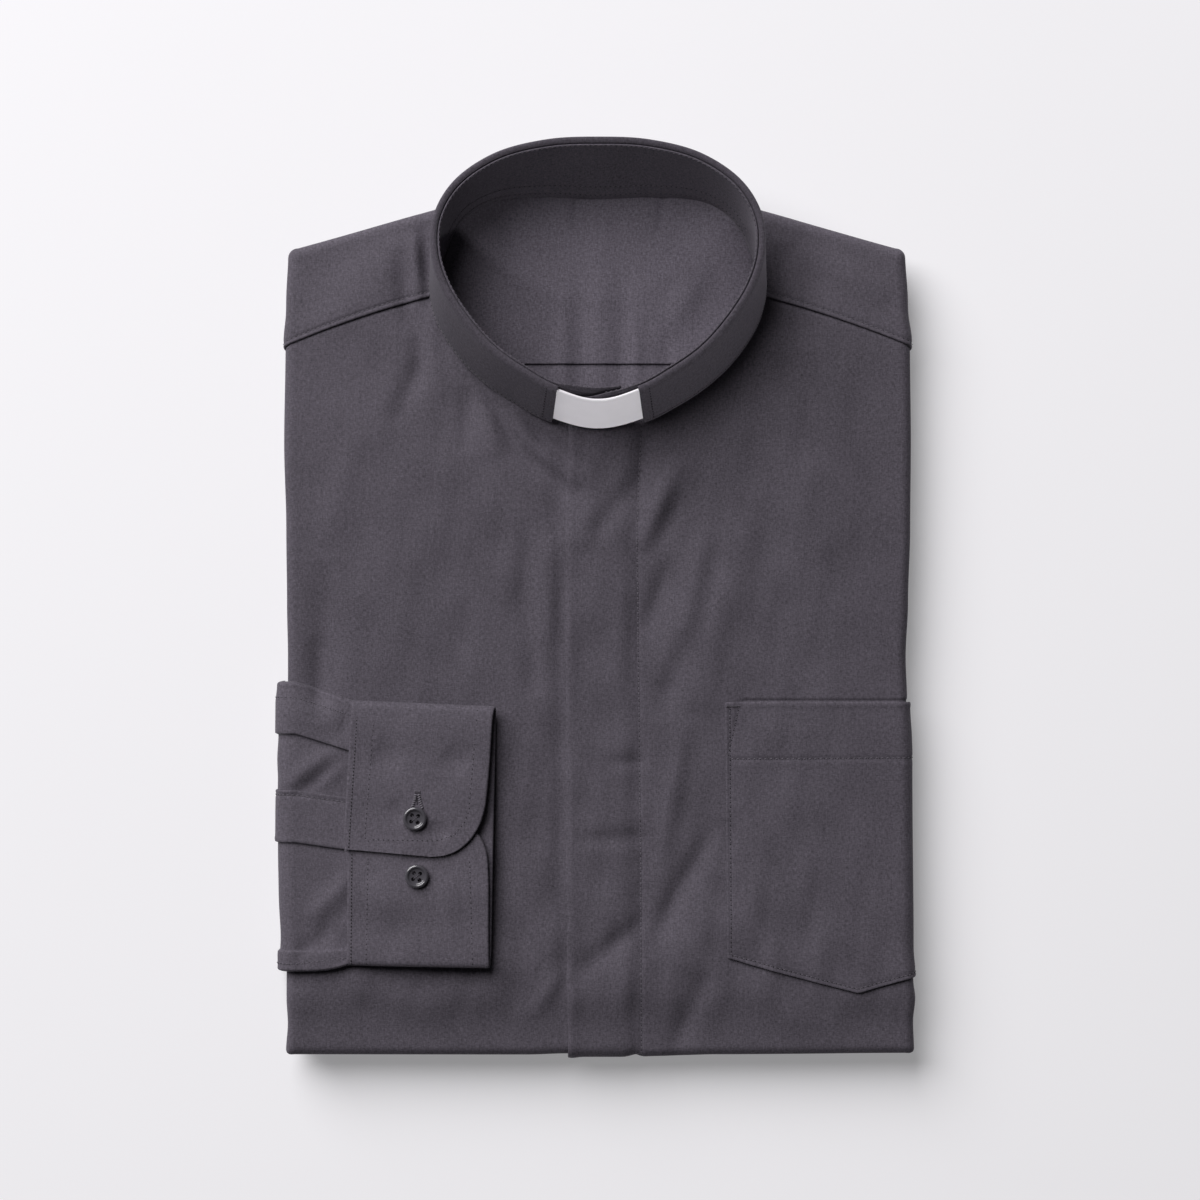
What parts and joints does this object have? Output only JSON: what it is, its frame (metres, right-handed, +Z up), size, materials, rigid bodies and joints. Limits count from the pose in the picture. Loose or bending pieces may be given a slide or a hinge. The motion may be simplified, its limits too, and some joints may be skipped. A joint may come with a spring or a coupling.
{
  "type": "folded clergy shirt",
  "caption": "Long-sleeved clergy shirt folded flat, with a standing tab collar, fly front, breast pocket and one buttoned cuff laid across the front.",
  "frame": {"origin": "centre of the bounding box in plan, on the table that the folded shirt lies on", "axes": "+X to the wearer's left, +Y to the collar, +Z up from the table"},
  "size_m": [0.2703, 0.384, 0.048],
  "materials": {
    "poplin": "charcoal grey poplin, fine plain weave, matt with a faint sheen",
    "poplin_inside": "the same charcoal poplin, inside the collar and under the fronts",
    "tab": "white, smooth, semi-matt flexible plastic",
    "button": "dark grey moulded resin, polished"
  },
  "bodies": {
    "root": {"right_front": "poplin", "left_front": "poplin", "yoke": "poplin", "neckband_outer": "poplin", "sleeve": "poplin", "sleeve_placket": "poplin", "cuff": "poplin", "pocket": "poplin", "folded_layers": "poplin_inside", "back": "poplin_inside", "yoke_lining": "poplin_inside", "neckband_inner": "poplin_inside", "collar_tab": "tab", "cuff_button_upper": "button", "cuff_button_lower": "button"}
  },
  "joints": []
}
